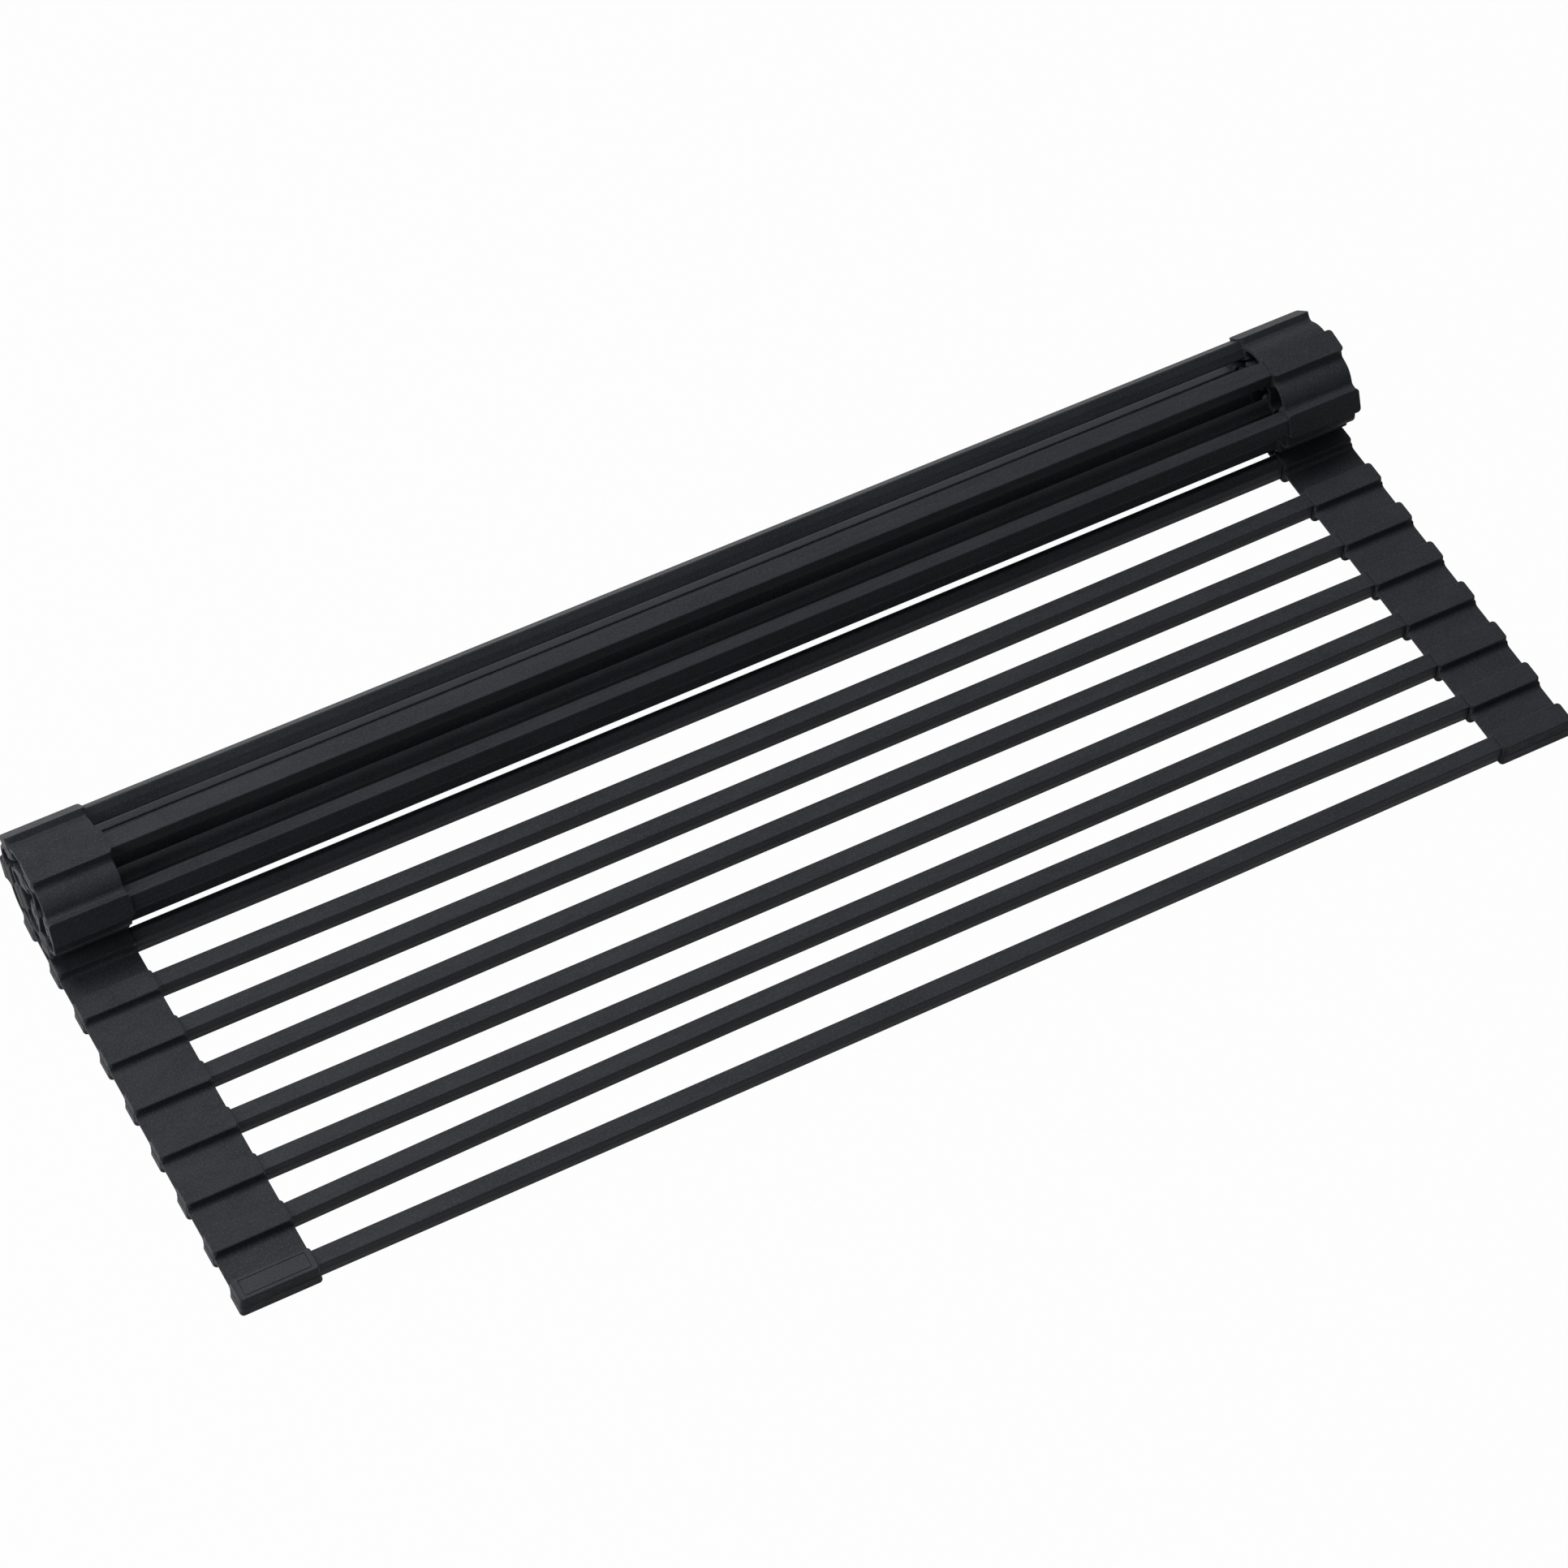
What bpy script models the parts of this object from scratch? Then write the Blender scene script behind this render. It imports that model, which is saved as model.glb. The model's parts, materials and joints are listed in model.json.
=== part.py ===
# Roll up dish drying rack: square rods held by a flexible strip at each end.
# The front of the mat lies flat and the back is rolled up over its own top side.
# X runs along the rods, Y from the flat front to the roll, Z up. Metres.
# The origin is on the ground, under the middle of the object's box.

import math

import bmesh
import bpy
from mathutils import Matrix, Vector

mm = 0.001

# The mat
rod_count = 17
flat_rod_count = 8
rod_pitch = 21.2 * mm
overall_length = 520 * mm

# Degrees that each web is bent by in the roll, from the last flat rod to the innermost rod
roll_bend_angles = (9, 57, 72, 50, 63, 88, 67, 112, 116)

# A rod is a steel tube in a square silicone coat
rod_side = 6.9 * mm
rod_edge_radius = 0.5 * mm
rod_edge_steps = 3

# A strip's blocks, one round each rod end, drawn in a little towards the top
block_length = 30 * mm
block_base_width = 10 * mm
block_top_width = 9.2 * mm
block_height = 8.7 * mm
block_end_draft = 0.6 * mm
block_corner_radius = 1.5 * mm
block_corner_steps = 3
block_rim_radius = 0.5 * mm

# The thin web between two blocks bends about a line on its inner side
web_thickness = 1.5 * mm
web_inset = 0.6 * mm
web_root_depth = 0.6 * mm
hinge_rise = 1.2 * mm
hinge_gap = 0.3 * mm

# The socket in each block that a rod end sits in, and the solid end of the block beyond it
socket_end_wall = 10 * mm
socket_clearance = 0.2 * mm
rod_end_gap = 0.3 * mm
cutter_overrun = 2 * mm

# The bare label field on the front left block, outlined by a fine groove
label_length = 24.4 * mm
label_width = 6.5 * mm
label_groove_width = 0.5 * mm
label_groove_depth = 0.25 * mm

# Colours and finish of the two silicones
strip_color = (0.040, 0.043, 0.050, 1.0)
strip_roughness = 0.55
rod_color = (0.034, 0.037, 0.044, 1.0)
rod_roughness = 0.45

# How an edge counts as running along an axis, as lying on a face, and as sharp
nearly_parallel = math.cos(math.radians(20))
same_height = 0.01 * mm
sharp_angle = math.radians(35)

# A bevel's profile share that makes it a round
round_profile_share = 0.5

half_pitch = rod_pitch / 2
mid_height = block_height / 2
socket_depth = block_length - socket_end_wall
root_rod = flat_rod_count - 1


def clear_scene():
    for obj in list(bpy.data.objects):
        bpy.data.objects.remove(obj, do_unlink=True)


def new_collection(name, hidden=False):
    collection = bpy.data.collections.new(name)
    bpy.context.scene.collection.children.link(collection)
    collection.hide_render = hidden
    return collection


def make_material(name, color, roughness):
    material = bpy.data.materials.new(name)
    material.use_nodes = True
    shader = material.node_tree.nodes["Principled BSDF"]
    shader.inputs["Base Color"].default_value = color
    shader.inputs["Roughness"].default_value = roughness
    shader.inputs["Metallic"].default_value = 0.0
    material.diffuse_color = color
    return material


# Where the rods lie, seen along X: the mat is a chain of rods joined at its webs

def step_along(centre, angle, forward, up):
    """The point this far along and above a rod's centre line, in that rod's own directions."""
    along = Vector((math.cos(angle), math.sin(angle)))
    above = Vector((-math.sin(angle), math.cos(angle)))
    return centre + along * forward + above * up


def chain_of_rods():
    """Each rod's centre and angle, and the hinge line between each rod and the next, as (Y, Z) from rod 1."""
    centres = [Vector((index * rod_pitch, mid_height)) for index in range(flat_rod_count)]
    angles = [0.0] * flat_rod_count
    hinges = [step_along(centre, 0.0, half_pitch, hinge_rise) for centre in centres]
    for bend in roll_bend_angles:
        hinge = hinges[-1]
        angle = angles[-1] + math.radians(bend)
        centre = step_along(hinge, angle, half_pitch, -hinge_rise)
        centres.append(centre)
        angles.append(angle)
        hinges.append(step_along(centre, angle, half_pitch, hinge_rise))
    return centres, angles, hinges[:-1]


def middle_of_depth(centres, angles):
    """The middle, along Y, of all the blocks' outlines."""
    half_base = block_base_width / 2
    half_top = block_top_width / 2
    reach = []
    for centre, angle in zip(centres, angles):
        for forward, up in ((-half_base, -mid_height), (half_base, -mid_height),
                            (-half_top, mid_height), (half_top, mid_height)):
            reach.append(step_along(centre, angle, forward, up).x)
    return (min(reach) + max(reach)) / 2


# Mesh building, each piece round its own rod's centre

def new_object(name, mesh, collection):
    obj = bpy.data.objects.new(name, mesh)
    collection.objects.link(obj)
    return obj


def box_object(name, size, centre, collection):
    shape = bmesh.new()
    bmesh.ops.create_cube(shape, size=1.0)
    bmesh.ops.scale(shape, vec=size, verts=shape.verts)
    bmesh.ops.translate(shape, vec=centre, verts=shape.verts)
    mesh = bpy.data.meshes.new(name)
    shape.to_mesh(mesh)
    shape.free()
    return new_object(name, mesh, collection)


def edges_along(shape, axis):
    """The edges that run nearly along this axis."""
    found = []
    for edge in shape.edges:
        run = (edge.verts[1].co - edge.verts[0].co).normalized()
        if abs(run[axis]) > nearly_parallel:
            found.append(edge)
    return found


def round_edges(shape, edges, radius, steps):
    bmesh.ops.bevel(shape, geom=edges, offset=radius, offset_type="OFFSET",
                    segments=steps, profile=round_profile_share, affect="EDGES", clamp_overlap=False)


def rim_edges(shape, height):
    """The edges of the flat face at this height."""
    flat = [face for face in shape.faces if all(abs(vert.co.z - height) < same_height for vert in face.verts)]
    return list({edge for face in flat for edge in face.edges})


def block_object(name, collection):
    """A block with its sides and ends drawn in towards the top, and its corners and top rim rounded."""
    shape = bmesh.new()
    bmesh.ops.create_cube(shape, size=1.0)
    bmesh.ops.scale(shape, vec=(block_length, block_base_width, block_height), verts=shape.verts)
    top = [vert for vert in shape.verts if vert.co.z > 0]
    narrowing = block_top_width / block_base_width
    shortening = (block_length - 2 * block_end_draft) / block_length
    bmesh.ops.scale(shape, vec=(shortening, narrowing, 1.0), verts=top)
    round_edges(shape, edges_along(shape, 2), block_corner_radius, block_corner_steps)
    round_edges(shape, rim_edges(shape, mid_height), block_rim_radius, 1)
    mesh = bpy.data.meshes.new(name)
    shape.to_mesh(mesh)
    shape.free()
    return new_object(name, mesh, collection)


def rod_mesh():
    """A square bar with rounded long edges, its ends inside both strips' sockets."""
    length = overall_length - 2 * (socket_end_wall + rod_end_gap)
    shape = bmesh.new()
    bmesh.ops.create_cube(shape, size=1.0)
    bmesh.ops.scale(shape, vec=(length, rod_side, rod_side), verts=shape.verts)
    round_edges(shape, edges_along(shape, 0), rod_edge_radius, rod_edge_steps)
    mesh = bpy.data.meshes.new("rod")
    shape.to_mesh(mesh)
    shape.free()
    return mesh


def combine(target, tool, operation):
    """Joins the tool to the target or cuts it away, and removes the tool."""
    modifier = target.modifiers.new(operation, "BOOLEAN")
    modifier.operation = operation
    modifier.solver = "EXACT"
    modifier.object = tool
    graph = bpy.context.evaluated_depsgraph_get()
    mesh = bpy.data.meshes.new_from_object(target.evaluated_get(graph))
    target.modifiers.clear()
    target.data = mesh
    bpy.data.objects.remove(tool, do_unlink=True)


def half_web(direction, collection):
    """From inside the block's side to just short of the hinge line. Direction is +1 behind, -1 in front."""
    start = block_base_width / 2 - web_root_depth - (block_base_width - block_top_width) / 2
    end = half_pitch - hinge_gap / 2
    size = (block_length - 2 * web_inset, end - start, web_thickness)
    centre = (0, direction * (start + end) / 2, 0)
    return box_object("half_web", size, centre, collection)


def socket_cutter(inward, collection):
    """The square socket, open at the block's inner end. Inward is the way to the mat's middle, +1 or -1."""
    length = socket_depth + cutter_overrun
    side = rod_side + 2 * socket_clearance
    mouth = block_length / 2 + cutter_overrun
    return box_object("socket", (length, side, side), (inward * (mouth - length / 2), 0, 0), collection)


def label_cutter(collection):
    """A fine rectangular groove in the top of the block."""
    top = mid_height - label_groove_depth
    height = label_groove_depth + cutter_overrun
    centre = (0, 0, top + height / 2)
    outer = box_object("label", (label_length, label_width, height), centre, collection)
    inner_size = (label_length - 2 * label_groove_width, label_width - 2 * label_groove_width,
                  height + 2 * cutter_overrun)
    inner = box_object("label_inside", inner_size, centre, collection)
    combine(outer, inner, "DIFFERENCE")
    return outer


def link_mesh(inward, web_in_front, web_behind, labelled, helpers):
    """One block with its half webs and its rod socket."""
    block = block_object("block", helpers)
    if web_in_front:
        combine(block, half_web(-1, helpers), "UNION")
    if web_behind:
        combine(block, half_web(1, helpers), "UNION")
    combine(block, socket_cutter(inward, helpers), "DIFFERENCE")
    if labelled:
        combine(block, label_cutter(helpers), "DIFFERENCE")
    mesh = block.data.copy()
    bpy.data.objects.remove(block, do_unlink=True)
    return mesh


def place(name, mesh, material, collection, across, index, chain, depth_middle):
    """Puts a piece of this rod in the chain, with its origin on the hinge line that it turns about."""
    centres, angles, hinges = chain
    if index < root_rod:
        axis = hinges[index]
        offset = Vector((0, half_pitch, hinge_rise))
    elif index > root_rod:
        axis = hinges[index - 1]
        offset = Vector((0, -half_pitch, hinge_rise))
    else:
        axis = centres[index]
        offset = Vector((0, 0, 0))
    own = mesh.copy()
    own.name = name
    own.transform(Matrix.Translation(-offset))
    own.materials.clear()
    own.materials.append(material)
    own.shade_smooth()
    own.set_sharp_from_angle(angle=sharp_angle)
    obj = new_object(name, own, collection)
    obj.location = (across, axis.x - depth_middle, axis.y)
    obj.rotation_euler = (angles[index], 0, 0)
    return obj


def build():
    clear_scene()
    parts = new_collection("roll_up_drying_rack")
    helpers = new_collection("helpers", hidden=True)
    strip_silicone = make_material("strip_silicone", strip_color, strip_roughness)
    rod_coat = make_material("rod_coat", rod_color, rod_roughness)
    chain = chain_of_rods()
    depth_middle = middle_of_depth(chain[0], chain[1])
    strip_middle = (overall_length - block_length) / 2
    rod = rod_mesh()
    for side, across, inward in (("left", -strip_middle, 1), ("right", strip_middle, -1)):
        for index in range(rod_count):
            first = index == 0
            last = index == rod_count - 1
            mesh = link_mesh(inward, not first, not last, first and side == "left", helpers)
            name = f"{side}_link_{index + 1:02d}"
            place(name, mesh, strip_silicone, parts, across, index, chain, depth_middle)
    for index in range(rod_count):
        place(f"rod_{index + 1:02d}", rod, rod_coat, parts, 0, index, chain, depth_middle)


build()
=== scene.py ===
import json
import math

import bmesh
import bpy
from mathutils import Matrix, Vector

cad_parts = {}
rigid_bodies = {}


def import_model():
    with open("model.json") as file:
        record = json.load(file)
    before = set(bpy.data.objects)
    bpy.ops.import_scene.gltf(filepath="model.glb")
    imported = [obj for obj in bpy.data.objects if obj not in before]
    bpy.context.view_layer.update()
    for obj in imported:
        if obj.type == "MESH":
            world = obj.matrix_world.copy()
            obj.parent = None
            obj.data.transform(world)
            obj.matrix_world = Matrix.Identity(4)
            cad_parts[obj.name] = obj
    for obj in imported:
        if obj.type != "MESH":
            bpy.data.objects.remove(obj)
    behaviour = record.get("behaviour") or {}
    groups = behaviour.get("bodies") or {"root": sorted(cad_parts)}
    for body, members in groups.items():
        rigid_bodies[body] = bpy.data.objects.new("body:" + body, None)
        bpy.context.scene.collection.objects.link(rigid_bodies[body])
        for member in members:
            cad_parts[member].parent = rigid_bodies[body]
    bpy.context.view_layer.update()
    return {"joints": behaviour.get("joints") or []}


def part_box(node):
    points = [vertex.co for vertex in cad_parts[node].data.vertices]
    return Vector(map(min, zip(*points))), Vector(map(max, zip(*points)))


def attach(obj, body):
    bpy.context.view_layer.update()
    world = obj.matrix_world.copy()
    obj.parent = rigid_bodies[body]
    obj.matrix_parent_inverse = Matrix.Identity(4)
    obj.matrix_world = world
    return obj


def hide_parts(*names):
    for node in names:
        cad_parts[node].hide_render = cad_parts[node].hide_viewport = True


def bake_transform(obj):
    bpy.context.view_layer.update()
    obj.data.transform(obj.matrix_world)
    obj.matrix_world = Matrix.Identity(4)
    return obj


# Roll up dish drying rack: square rods in a silicone coat, held by a moulded silicone strip at each end.
# The front lies flat and the back is rolled up. X runs along the rods, Z up, all in metres.

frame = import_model()

rack = {
    "rows": 17,
    "fixedRow": 8,          # the row that the flat front and the roll both turn from
    "halfPitch": 0.0106,
    "hingeRise": 0.0012,    # how far the hinge lines lie above the middle of the blocks
    "halfLength": 0.260,
}


# Where each row lies: its rod's centre and its tilt, and the matrix that puts a piece there
def rowPlaces():
    hinges = {}
    for joint in frame["joints"]:
        hinges[frozenset((joint["parent"], joint["child"]))] = Vector(joint["pos_m"])
    places = {}
    for row in range(1, rack["rows"] + 1):
        low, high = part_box(f"rod_{row:02d}")
        centre = (low + high) / 2
        tilt = 0.0
        if row != rack["fixedRow"]:
            toward = 1 if row < rack["fixedRow"] else -1
            hinge = hinges[frozenset((f"row_{row:02d}", f"row_{row + toward:02d}"))]
            arm = centre - hinge
            tilt = math.atan2(arm.z, arm.y) - math.atan2(-rack["hingeRise"], -toward * rack["halfPitch"])
        places[row] = Matrix.Translation((0, centre.y, centre.z)) @ Matrix.Rotation(tilt, 4, "X")
    return places


places = rowPlaces()


# Small mesh helpers
def newPiece(name, shape, material):
    mesh = bpy.data.meshes.new(name)
    shape.to_mesh(mesh)
    shape.free()
    mesh.materials.append(material)
    piece = bpy.data.objects.new(name, mesh)
    bpy.context.scene.collection.objects.link(piece)
    return piece


def softShade(piece, sharpDegrees=40):
    piece.data.shade_smooth()
    piece.data.set_sharp_from_angle(angle=math.radians(sharpDegrees))
    weighted = piece.modifiers.new("evenShading", "WEIGHTED_NORMAL")
    weighted.keep_sharp = True


def copyInRow(master, name, row, body):
    # The master's mesh stays round its own rod's centre, and each copy is moved into its row
    mesh = master.data.copy()
    mesh.name = name
    mesh.transform(places[row])
    piece = bpy.data.objects.new(name, mesh)
    bpy.context.scene.collection.objects.link(piece)
    softShade(piece)
    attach(piece, body)
    return piece


def loftRings(shape, rings):
    # Closed rings of the same number of points, joined in order, with both ends capped
    rows = [[shape.verts.new(point) for point in ring] for ring in rings]
    count = len(rows[0])
    for first, second in zip(rows, rows[1:]):
        for index in range(count):
            after = (index + 1) % count
            shape.faces.new((first[index], first[after], second[after], second[index]))
    shape.faces.new(list(reversed(rows[0])))
    shape.faces.new(rows[-1])
    bmesh.ops.recalc_face_normals(shape, faces=shape.faces)


def cutAway(target, cutter):
    cut = target.modifiers.new("cut", "BOOLEAN")
    cut.operation = "DIFFERENCE"
    cut.solver = "EXACT"
    cut.object = cutter
    graph = bpy.context.evaluated_depsgraph_get()
    mesh = bpy.data.meshes.new_from_object(target.evaluated_get(graph))
    target.modifiers.clear()
    target.data = mesh
    bpy.data.objects.remove(cutter, do_unlink=True)


# Materials. Object coordinates are metres here, so a texture scale is a number of features per metre.
def newMaterial(name):
    material = bpy.data.materials.new(name)
    material.use_nodes = True
    tree = material.node_tree
    tree.nodes.clear()
    output = tree.nodes.new("ShaderNodeOutputMaterial")
    shader = tree.nodes.new("ShaderNodeBsdfPrincipled")
    tree.links.new(shader.outputs["BSDF"], output.inputs["Surface"])
    return material, tree, shader


def scaledCoordinates(tree, scale):
    place = tree.nodes.new("ShaderNodeTexCoord")
    mapping = tree.nodes.new("ShaderNodeMapping")
    mapping.inputs["Scale"].default_value = scale
    tree.links.new(place.outputs["Object"], mapping.inputs["Vector"])
    return mapping.outputs["Vector"]


def noiseOf(tree, vector, detail):
    noise = tree.nodes.new("ShaderNodeTexNoise")
    noise.inputs["Scale"].default_value = 1.0
    noise.inputs["Detail"].default_value = detail
    noise.inputs["Roughness"].default_value = silicone["noiseRoughness"]
    tree.links.new(vector, noise.inputs["Vector"])
    return noise.outputs["Fac"]


def rangeOf(tree, value, low, high, outLow, outHigh):
    spread = tree.nodes.new("ShaderNodeMapRange")
    for name, number in (("From Min", low), ("From Max", high), ("To Min", outLow), ("To Max", outHigh)):
        spread.inputs[name].default_value = number
    tree.links.new(value, spread.inputs["Value"])
    return spread.outputs["Result"]


def mixedColour(tree, share, first, second):
    mix = tree.nodes.new("ShaderNodeMix")
    mix.data_type = "RGBA"
    tree.links.new(share, mix.inputs["Factor"])
    for socket, colour in (("A", first), ("B", second)):
        target = [slot for slot in mix.inputs if slot.name == socket and slot.type == "RGBA"][0]
        if isinstance(colour, tuple):
            target.default_value = (*colour, 1.0)
        else:
            tree.links.new(colour, target)
    return [slot for slot in mix.outputs if slot.type == "RGBA"][0]


def bumpFrom(tree, height, distance, below=None):
    bump = tree.nodes.new("ShaderNodeBump")
    bump.inputs["Distance"].default_value = distance
    bump.inputs["Strength"].default_value = silicone["bumpStrength"]
    tree.links.new(height, bump.inputs["Height"])
    if below is not None:
        tree.links.new(below, bump.inputs["Normal"])
    return bump.outputs["Normal"]


silicone = {
    "ior": 1.43,
    "sheenRoughness": 0.35,
    "bumpStrength": 0.5,
    "noiseRoughness": 0.55,
    "patchDetail": 4.0,
    "fineDetail": 2.0,            # for the lines and the specks
    "noiseRange": (0.3, 0.7),     # most of a noise texture's values lie between these
    "lineRange": (0.48, 0.62),    # the line noise where a pale line starts, and where it is full
    "grainRange": (0.48, 0.72),   # the same for the specks
}

coatLook = {
    "dark": (0.0255, 0.0275, 0.0325),
    "light": (0.037, 0.0395, 0.0465),
    "dust": (0.060, 0.063, 0.070),
    "roughness": (0.42, 0.56),
    "specular": 0.10,
    "sheen": 0.06,                # the pale bloom that silicone shows at a grazing angle
    "lines": (5, 900, 900),       # fine lines that run along the rod
    "grain": (1500, 1500, 1500),
    "grainShares": (0.0, 0.70),   # how much of the dust colour the grain shows
    "lineShares": (0.0, 0.14),
    "lineDepth": 0.00006,         # how high the lines and the specks stand in the bump
    "grainDepth": 0.00004,
    "patches": (38, 120, 120),
}

stripLook = {
    "dark": (0.0240, 0.0260, 0.0305),
    "light": (0.0325, 0.0350, 0.0415),
    "dust": (0.064, 0.067, 0.074),
    "roughness": (0.50, 0.64),
    "specular": 0.11,
    "sheen": 0.13,
    "lines": (260, 700, 700),
    "grain": (1600, 1600, 1600),
    "grainShares": (0.0, 0.70),
    "lineShares": (0.0, 0.0),
    "lineDepth": 0.00003,
    "grainDepth": 0.00005,
    "patches": (90, 110, 110),
}


def siliconeMaterial(name, look):
    material, tree, shader = newMaterial(name)
    patches = noiseOf(tree, scaledCoordinates(tree, look["patches"]), silicone["patchDetail"])
    lines = noiseOf(tree, scaledCoordinates(tree, look["lines"]), silicone["fineDetail"])
    grain = noiseOf(tree, scaledCoordinates(tree, look["grain"]), silicone["fineDetail"])
    patchShare = rangeOf(tree, patches, *silicone["noiseRange"], 0.0, 1.0)
    tone = mixedColour(tree, patchShare, look["dark"], look["light"])
    lineShare = rangeOf(tree, lines, *silicone["lineRange"], *look["lineShares"])
    tone = mixedColour(tree, lineShare, tone, look["dust"])
    grainShare = rangeOf(tree, grain, *silicone["grainRange"], *look["grainShares"])
    tone = mixedColour(tree, grainShare, tone, look["dust"])
    tree.links.new(tone, shader.inputs["Base Color"])
    gloss = rangeOf(tree, lines, *silicone["noiseRange"], *look["roughness"])
    tree.links.new(gloss, shader.inputs["Roughness"])
    shader.inputs["Specular IOR Level"].default_value = look["specular"]
    shader.inputs["IOR"].default_value = silicone["ior"]
    shader.inputs["Sheen Weight"].default_value = look["sheen"]
    shader.inputs["Sheen Roughness"].default_value = silicone["sheenRoughness"]
    normal = bumpFrom(tree, lines, look["lineDepth"])
    normal = bumpFrom(tree, grain, look["grainDepth"], below=normal)
    tree.links.new(normal, shader.inputs["Normal"])
    return material


# The label field is a little paler and smoother than the rest of its block
labelLook = dict(stripLook)
labelLook["dark"] = (0.032, 0.0345, 0.041)
labelLook["light"] = (0.040, 0.043, 0.0505)
labelLook["roughness"] = (0.38, 0.46)
labelLook["lineDepth"] = 0.00001
labelLook["grainDepth"] = 0.00002

rodCoat = siliconeMaterial("rodCoat", coatLook)
stripSilicone = siliconeMaterial("stripSilicone", stripLook)
labelSilicone = siliconeMaterial("labelSilicone", labelLook)
print("materials made")


# Rods: a square coat with rounded edges, a little draft and a fine mould line along both sides
rodLook = {
    "side": 0.0069,
    "edgeRadius": 0.0005,
    "edgeSteps": 6,
    "draft": 0.00010,       # each side leans in by this much towards the top and the bottom
    "lineWidth": 0.00028,
    "lineProud": 0.00005,
    "lineHeight": -0.0002,  # from the middle of the side
    "length": 0.4994,
    "freeHalf": 0.230,      # from the middle to where the rod goes into its socket
    "bowSteps": 14,
}

# How far the middle of a rod stands off towards the back. The flat rods aren't quite straight.
rodBows = {1: -0.0003, 2: 0.0023, 3: -0.0006, 4: -0.0008, 5: 0.0009, 7: -0.0014, 8: -0.0003}


def rodOutline(grow=0.0):
    half = rodLook["side"] / 2 + grow
    radius = rodLook["edgeRadius"] + grow
    draft = rodLook["draft"]
    points = []
    for side, up, start in ((1, 1, 0), (-1, 1, 90), (-1, -1, 180), (1, -1, 270)):
        centreY = side * (half - draft - radius)
        centreZ = up * (half - radius)
        for step in range(rodLook["edgeSteps"] + 1):
            angle = math.radians(start + 90 * step / rodLook["edgeSteps"])
            points.append((centreY + radius * math.cos(angle), centreZ + radius * math.sin(angle)))
        if side == -1 and up == 1:
            points += mouldLine(-half, grow, downward=True)
    points += mouldLine(half, grow, downward=False)
    return points


def mouldLine(sideY, grow, downward):
    # Four points of a fine raised line on a side, walked down on one side of the rod and up on the other
    outward = math.copysign(rodLook["lineProud"], sideY) if grow == 0 else 0.0
    middle = rodLook["lineHeight"]
    halfWidth = rodLook["lineWidth"] / 2
    heights = [middle - halfWidth, middle - halfWidth / 4, middle + halfWidth / 4, middle + halfWidth]
    reaches = [0.0, outward, outward, 0.0]
    points = [(sideY + reach, height) for reach, height in zip(reaches, heights)]
    return list(reversed(points)) if downward else points


def rodStations():
    # Straight in both sockets, with steps for the bow between them
    end, free, steps = rodLook["length"] / 2, rodLook["freeHalf"], rodLook["bowSteps"]
    return [-end] + [free * (2 * step / steps - 1) for step in range(steps + 1)] + [end]


def rodShape(stations, grow=0.0, bow=0.0):
    shape = bmesh.new()
    outline = rodOutline(grow)
    rings = []
    for x in stations:
        share = min(1.0, abs(x) / rodLook["freeHalf"])
        aside = bow * math.cos(math.pi / 2 * share)
        rings.append([(x, y + aside, z) for y, z in outline])
    loftRings(shape, rings)
    return shape


for row in range(1, rack["rows"] + 1):
    rodMaster = newPiece("rodMaster", rodShape(rodStations(), bow=rodBows.get(row, 0.0)), rodCoat)
    rod = copyInRow(rodMaster, f"squareRod{row:02d}", row, f"row_{row:02d}")
    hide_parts(f"rod_{row:02d}")
    bpy.data.objects.remove(rodMaster, do_unlink=True)
print("rods made:", rack["rows"])


# Blocks of the end strips, each with the socket that its rod end sits in
blockLook = {
    "length": 0.030,
    "baseWidth": 0.010,
    "topWidth": 0.0092,
    "height": 0.0087,
    "endDraft": 0.0006,
    "cornerRadius": 0.0015,
    "cornerSteps": 6,
    "topRadius": 0.0005,
    "topSteps": 4,
    "bottomRadius": 0.0003,
    "bottomSteps": 2,
    "seamHeight": -0.0003,      # the mould line round the block, from its middle
    "seamHalfWidth": 0.00022,
    "seamDepth": 0.00016,
    "socketDepth": 0.020,
    "socketOverrun": 0.002,
    "socketGap": 0.00008,
    "mouthRadius": 0.00018,
    "mouthSteps": 2,
    "labelSize": (0.0244, 0.0065),
    "labelGroove": 0.00042,
    "labelDepth": 0.00022,
    "labelCutter": 0.001,       # how tall the cutter of the groove is
    "onFace": 0.0001,           # how far from a face a point may lie to count as on it
    "facingEnd": 0.9,           # the least share of a normal along the block for a face of its end
}
sameLevel = 1e-5                # points this near in height count as level


def flatEdges(shape, height):
    level = [face for face in shape.faces if all(abs(vert.co.z - height) < sameLevel for vert in face.verts)]
    return list({edge for face in level for edge in face.edges})


def roundOff(shape, edges, radius, steps):
    bmesh.ops.bevel(shape, geom=edges, offset=radius, offset_type="OFFSET", segments=steps, profile=0.5,
                    affect="EDGES", clamp_overlap=False)


def blockBody():
    shape = bmesh.new()
    bmesh.ops.create_cube(shape, size=1.0)
    half = blockLook["height"] / 2
    size = (blockLook["length"], blockLook["baseWidth"], blockLook["height"])
    bmesh.ops.scale(shape, vec=size, verts=shape.verts)
    top = [vert for vert in shape.verts if vert.co.z > 0]
    shorter = 1 - 2 * blockLook["endDraft"] / blockLook["length"]
    narrower = blockLook["topWidth"] / blockLook["baseWidth"]
    bmesh.ops.scale(shape, vec=(shorter, narrower, 1.0), verts=top)
    upright = [edge for edge in shape.edges if abs(edge.verts[0].co.z - edge.verts[1].co.z) > half]
    roundOff(shape, upright, blockLook["cornerRadius"], blockLook["cornerSteps"])
    roundOff(shape, flatEdges(shape, half), blockLook["topRadius"], blockLook["topSteps"])
    roundOff(shape, flatEdges(shape, -half), blockLook["bottomRadius"], blockLook["bottomSteps"])
    addSeam(shape)
    return shape


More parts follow.
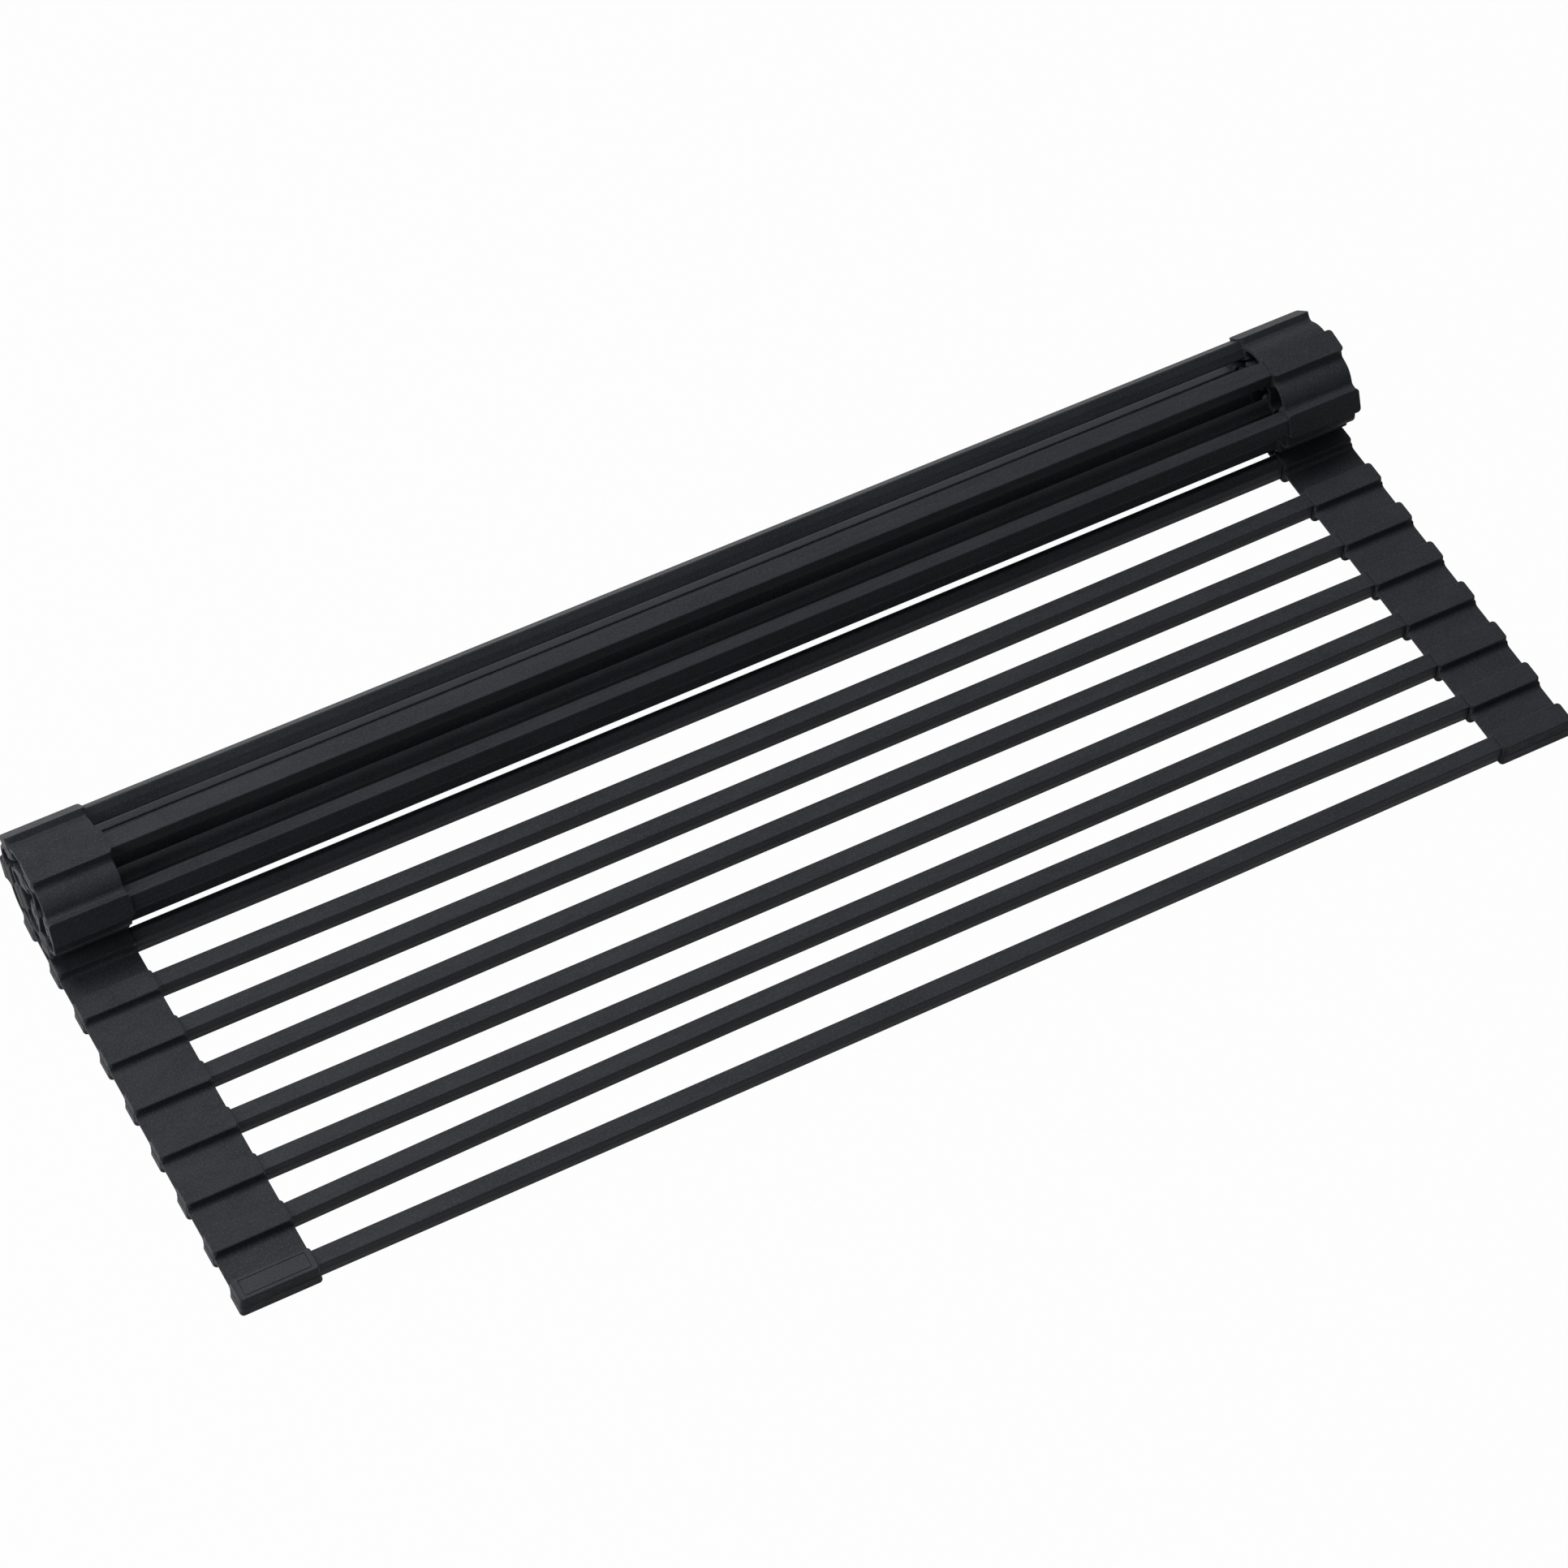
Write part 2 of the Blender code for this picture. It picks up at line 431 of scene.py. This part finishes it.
def addSeam(shape):
    # The fine raised line where the two halves of the mould met
    middle = blockLook["seamHeight"]
    for level in (middle - blockLook["seamHalfWidth"], middle, middle + blockLook["seamHalfWidth"]):
        everything = list(shape.verts) + list(shape.edges) + list(shape.faces)
        bmesh.ops.bisect_plane(shape, geom=everything, plane_co=(0, 0, level), plane_no=(0, 0, 1))
    shape.normal_update()
    for vert in shape.verts:
        if abs(vert.co.z - middle) < sameLevel:
            outward = Vector((vert.normal.x, vert.normal.y, 0)).normalized()
            vert.co += outward * blockLook["seamDepth"]


def cutterBox(name, size, centre):
    shape = bmesh.new()
    bmesh.ops.create_cube(shape, size=1.0)
    bmesh.ops.scale(shape, vec=size, verts=shape.verts)
    bmesh.ops.translate(shape, vec=centre, verts=shape.verts)
    return newPiece(name, shape, stripSilicone)


def roundMouth(piece, inward):
    # Softens the rim of the socket where the rod comes out
    shape = bmesh.new()
    shape.from_mesh(piece.data)
    inside = rodLook["side"] / 2 + 2 * blockLook["socketGap"]
    nearEnd = blockLook["length"] / 2 - blockLook["endDraft"] - blockLook["onFace"]
    rim = []
    for edge in shape.edges:
        near = all(vert.co.x * inward > nearEnd for vert in edge.verts)
        within = all(max(abs(vert.co.y), abs(vert.co.z)) < inside for vert in edge.verts)
        if near and within and len(edge.link_faces) == 2:
            facing = [abs(face.normal.x) > blockLook["facingEnd"] for face in edge.link_faces]
            if facing[0] != facing[1]:
                rim.append(edge)
    roundOff(shape, rim, blockLook["mouthRadius"], blockLook["mouthSteps"])
    shape.to_mesh(piece.data)
    shape.free()


def addLabelField(piece):
    # A bare field with a fine groove round it, a little smoother than the rest of the block
    length, width = blockLook["labelSize"]
    groove = blockLook["labelGroove"]
    top = blockLook["height"] / 2
    reach = blockLook["labelCutter"]
    middle = top - blockLook["labelDepth"] + reach / 2
    outer = cutterBox("labelOuter", (length, width, reach), (0, 0, middle))
    innerSize = (length - 2 * groove, width - 2 * groove, 3 * reach)
    inner = cutterBox("labelInner", innerSize, (0, 0, middle))
    cutAway(outer, inner)
    cutAway(piece, outer)
    piece.data.materials.clear()
    piece.data.materials.append(stripSilicone)
    piece.data.materials.append(labelSilicone)
    for face in piece.data.polygons:
        spot = face.center
        inField = abs(spot.x) < length / 2 - groove and abs(spot.y) < width / 2 - groove
        onTop = spot.z > top - blockLook["onFace"]
        face.material_index = 1 if inField and onTop else 0


def blockMaster(name, inward, labelled=False):
    piece = newPiece(name, blockBody(), stripSilicone)
    mouth = blockLook["length"] / 2
    deepest = inward * (mouth - blockLook["socketDepth"])
    outside = inward * (mouth + blockLook["socketOverrun"])
    cutterShape = rodShape(sorted((deepest, outside)), grow=blockLook["socketGap"])
    socket = newPiece("socketCutter", cutterShape, stripSilicone)
    cutAway(piece, socket)
    roundMouth(piece, inward)
    if labelled:
        addLabelField(piece)
    return piece


stripMiddle = rack["halfLength"] - blockLook["length"] / 2
sides = {"left": (-stripMiddle, 1), "right": (stripMiddle, -1)}
for side, (across, inward) in sides.items():
    plain = blockMaster(f"{side}Master", inward)
    labelled = blockMaster(f"{side}LabelMaster", inward, labelled=True) if side == "left" else plain
    for master in {plain, labelled}:
        master.data.transform(Matrix.Translation((across, 0, 0)))
    for row in range(1, rack["rows"] + 1):
        block = copyInRow(labelled if row == 1 else plain, f"{side}Block{row:02d}", row, f"row_{row:02d}")
        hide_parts(f"{side}_link_{row:02d}")
    for master in {plain, labelled}:
        bpy.data.objects.remove(master, do_unlink=True)
print("blocks made:", 2 * rack["rows"])


# Webs: the thin part of the strip from block to block, one smooth sheet that bends between its two rows
webLook = {
    "width": 0.0288,
    "thickness": 0.0015,
    "blockHalf": 0.0048,      # half a block's width at the level of the web
    "slack": 1.03,            # how much longer than flat it may lie, so that it opens nearly flat
    "filletRadius": 0.0016,
    "filletShares": (0.0, 0.06, 0.15, 0.3, 0.5, 0.75, 1.0),  # where a fillet's rings stand
    "edgeRadius": 0.00035,
    "edgeSteps": 3,
    "sunk": 0.0009,           # how far each end runs into its block
    "steps": 18,
    "fineSteps": 400,         # steps of the curve that the stations are measured on
    "handleSteps": 60,        # steps of the curve while its length is being found
    "handleTries": 30,
    "handleShares": (0.2, 0.9),     # the curve's handles lie between these shares of the flat web
    "sharpDegrees": 60,
}


def bendPoints(start, startWay, finish, finishWay, handle, steps):
    # A smooth curve that leaves one block and enters the next along their own directions
    first = start + startWay * handle
    second = finish - finishWay * handle
    points = []
    for step in range(steps + 1):
        share = step / steps
        rest = 1 - share
        nearStart = start * rest ** 3 + first * 3 * rest ** 2 * share
        nearFinish = second * 3 * rest * share ** 2 + finish * share ** 3
        points.append(nearStart + nearFinish)
    return points


def lengthOf(points):
    return sum((after - before).length for before, after in zip(points, points[1:]))


def webCurve(row):
    before, after = places[row], places[row + 1]
    start = before @ Vector((0, webLook["blockHalf"], 0))
    finish = after @ Vector((0, -webLook["blockHalf"], 0))
    startWay = (before.to_3x3() @ Vector((0, 1, 0))).normalized()
    finishWay = (after.to_3x3() @ Vector((0, 1, 0))).normalized()
    flat = 2 * (rack["halfPitch"] - webLook["blockHalf"])
    bend = math.acos(max(-1.0, min(1.0, startWay.dot(finishWay))))
    wanted = flat * (1 + (webLook["slack"] - 1) * min(1.0, bend))
    low, high = (flat * share for share in webLook["handleShares"])
    for _ in range(webLook["handleTries"]):
        handle = (low + high) / 2
        if lengthOf(bendPoints(start, startWay, finish, finishWay, handle, webLook["handleSteps"])) < wanted:
            low = handle
        else:
            high = handle
    return start, startWay, finish, finishWay, handle


def webStations(row):
    # Centre points and directions along the web, closer together in the fillets at both ends
    start, startWay, finish, finishWay, handle = webCurve(row)
    fine = bendPoints(start, startWay, finish, finishWay, handle, webLook["fineSteps"])
    total = lengthOf(fine)
    radius = webLook["filletRadius"]
    near = [radius * share for share in webLook["filletShares"]]
    inner = [radius + (total - 2 * radius) * step / webLook["steps"] for step in range(1, webLook["steps"])]
    wanted = near + inner + [total - distance for distance in reversed(near)]
    stations = [(start - startWay * webLook["sunk"], startWay, radius)]
    walked = 0.0
    index = 0
    for distance in wanted:
        while index < len(fine) - 2 and walked + (fine[index + 1] - fine[index]).length < distance:
            walked += (fine[index + 1] - fine[index]).length
            index += 1
        way = fine[index + 1] - fine[index]
        point = fine[index] + way.normalized() * (distance - walked)
        ahead = fine[min(index + 2, len(fine) - 1)] - fine[max(index - 1, 0)]
        fromEnd = min(distance, total - distance)
        flare = 0.0
        if fromEnd < radius:
            flare = radius - math.sqrt(max(0.0, radius ** 2 - (radius - fromEnd) ** 2))
        stations.append((point, ahead.normalized(), flare))
    stations.append((finish + finishWay * webLook["sunk"], finishWay, radius))
    return stations


def webRing(point, way, flare, across):
    # A rounded rectangle square to the web's direction
    normal = Vector((0, -way.z, way.y))
    halfWidth = webLook["width"] / 2
    halfThick = webLook["thickness"] / 2 + flare
    radius = webLook["edgeRadius"]
    ring = []
    for side, up, begin in ((1, 1, 0), (-1, 1, 90), (-1, -1, 180), (1, -1, 270)):
        for step in range(webLook["edgeSteps"] + 1):
            angle = math.radians(begin + 90 * step / webLook["edgeSteps"])
            sideways = side * (halfWidth - radius) + radius * math.cos(angle)
            height = up * (halfThick - radius) + radius * math.sin(angle)
            ring.append(point + Vector((across + sideways, 0, 0)) + normal * height)
    return ring


def webPiece(side, row, across):
    shape = bmesh.new()
    stations = webStations(row)
    loftRings(shape, [webRing(point, way, flare, across) for point, way, flare in stations])
    piece = newPiece(f"{side}Web{row:02d}", shape, stripSilicone)
    softShade(piece, webLook["sharpDegrees"])
    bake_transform(piece)
    return piece


for side, (across, inward) in sides.items():
    for row in range(1, rack["rows"]):
        webPiece(side, row, across)
print("webs made:", 2 * (rack["rows"] - 1))


# Floor and surroundings, white to the camera, with the rack's own soft shadow on the floor
studio = {
    "floorColour": (0.13, 0.13, 0.13),
    "floorWhite": 0.985,       # how much of the white the camera sees doesn't depend on the lamps
    "ambient": 0.082,
    "keyPower": 23.6,
    "keyPlace": (-0.40, 0.62, 1.80),
    "keySize": 1.0,
    "sidePower": 1.7,
    "sidePlace": (-0.80, -0.05, 0.30),
    "sideSize": 0.35,
    "aim": (0.0, 0.0, 0.02),
    "floorHalf": 6.0,
    "floorDrop": 0.0002,       # keeps the floor just clear of the blocks
}


def seenDirectly(tree):
    # 1 for rays from the camera and for reflections and refractions of the surroundings
    rays = tree.nodes.new("ShaderNodeLightPath")
    total = None
    for name in ("Is Camera Ray", "Is Glossy Ray", "Is Transmission Ray"):
        if total is None:
            total = rays.outputs[name]
            continue
        join = tree.nodes.new("ShaderNodeMath")
        join.operation = "MAXIMUM"
        tree.links.new(total, join.inputs[0])
        tree.links.new(rays.outputs[name], join.inputs[1])
        total = join.outputs[0]
    return total


def makeFloor():
    shape = bmesh.new()
    bmesh.ops.create_grid(shape, x_segments=1, y_segments=1, size=studio["floorHalf"])
    material = bpy.data.materials.new("paleFloor")
    material.use_nodes = True
    tree = material.node_tree
    tree.nodes.clear()
    output = tree.nodes.new("ShaderNodeOutputMaterial")
    matt = tree.nodes.new("ShaderNodeBsdfDiffuse")
    matt.inputs["Color"].default_value = (*studio["floorColour"], 1.0)
    glow = tree.nodes.new("ShaderNodeEmission")
    glow.inputs["Strength"].default_value = 1.0
    share = tree.nodes.new("ShaderNodeMath")
    share.operation = "MULTIPLY"
    share.inputs[1].default_value = studio["floorWhite"]
    mix = tree.nodes.new("ShaderNodeMixShader")
    tree.links.new(seenDirectly(tree), share.inputs[0])
    tree.links.new(share.outputs[0], mix.inputs["Fac"])
    tree.links.new(matt.outputs["BSDF"], mix.inputs[1])
    tree.links.new(glow.outputs["Emission"], mix.inputs[2])
    tree.links.new(mix.outputs["Shader"], output.inputs["Surface"])
    floor = newPiece("paleFloor", shape, material)
    floor.location = (0, 0, -studio["floorDrop"])


def makeWorld():
    world = bpy.data.worlds.new("softSurroundings")
    world.use_nodes = True
    tree = world.node_tree
    tree.nodes.clear()
    output = tree.nodes.new("ShaderNodeOutputWorld")
    background = tree.nodes.new("ShaderNodeBackground")
    background.inputs["Color"].default_value = (1.0, 1.0, 1.0, 1.0)
    level = rangeOf(tree, seenDirectly(tree), 0.0, 1.0, studio["ambient"], 1.0)
    tree.links.new(level, background.inputs["Strength"])
    tree.links.new(background.outputs["Background"], output.inputs["Surface"])
    bpy.context.scene.world = world


def makeLamp(name, power, place, size):
    lamp = bpy.data.lights.new(name, "AREA")
    lamp.energy = power
    lamp.size = size
    holder = bpy.data.objects.new(name, lamp)
    bpy.context.scene.collection.objects.link(holder)
    holder.location = place
    holder.rotation_mode = "QUATERNION"
    holder.rotation_quaternion = (Vector(studio["aim"]) - Vector(place)).to_track_quat("-Z", "Y")


makeFloor()
makeWorld()
makeLamp("keyLamp", studio["keyPower"], studio["keyPlace"], studio["keySize"])
makeLamp("sideLamp", studio["sidePower"], studio["sidePlace"], studio["sideSize"])
print("studio made")


# The camera stands where the photo was taken from: front left, high up, with a long lens
cameraLook = {
    "place": (-0.5670, -1.0262, 1.5480),
    "heading": 28.68,     # degrees from +Y towards +X
    "downward": 52.57,
    "roll": 0.68,
    "lens": 126.8,
    "sensor": 36.0,
    "clipStart": 0.05,
    "clipEnd": 30.0,
}


def makeCamera():
    camera = bpy.data.cameras.new("photoCamera")
    camera.lens = cameraLook["lens"]
    camera.sensor_width = cameraLook["sensor"]
    camera.clip_start = cameraLook["clipStart"]
    camera.clip_end = cameraLook["clipEnd"]
    holder = bpy.data.objects.new("photoCamera", camera)
    bpy.context.scene.collection.objects.link(holder)
    heading, downward, roll = (math.radians(cameraLook[key]) for key in ("heading", "downward", "roll"))
    level = math.cos(downward)
    ahead = Vector((math.sin(heading) * level, math.cos(heading) * level, -math.sin(downward)))
    beside = Vector((math.cos(heading), -math.sin(heading), 0.0))
    above = beside.cross(ahead)
    right = beside * math.cos(roll) + above * math.sin(roll)
    up = above * math.cos(roll) - beside * math.sin(roll)
    turn = Matrix((right, up, -ahead)).transposed()
    holder.matrix_world = Matrix.Translation(cameraLook["place"]) @ turn.to_4x4()
    bpy.context.scene.camera = holder


makeCamera()
bpy.context.scene.view_settings.view_transform = "Standard"
print("camera set")
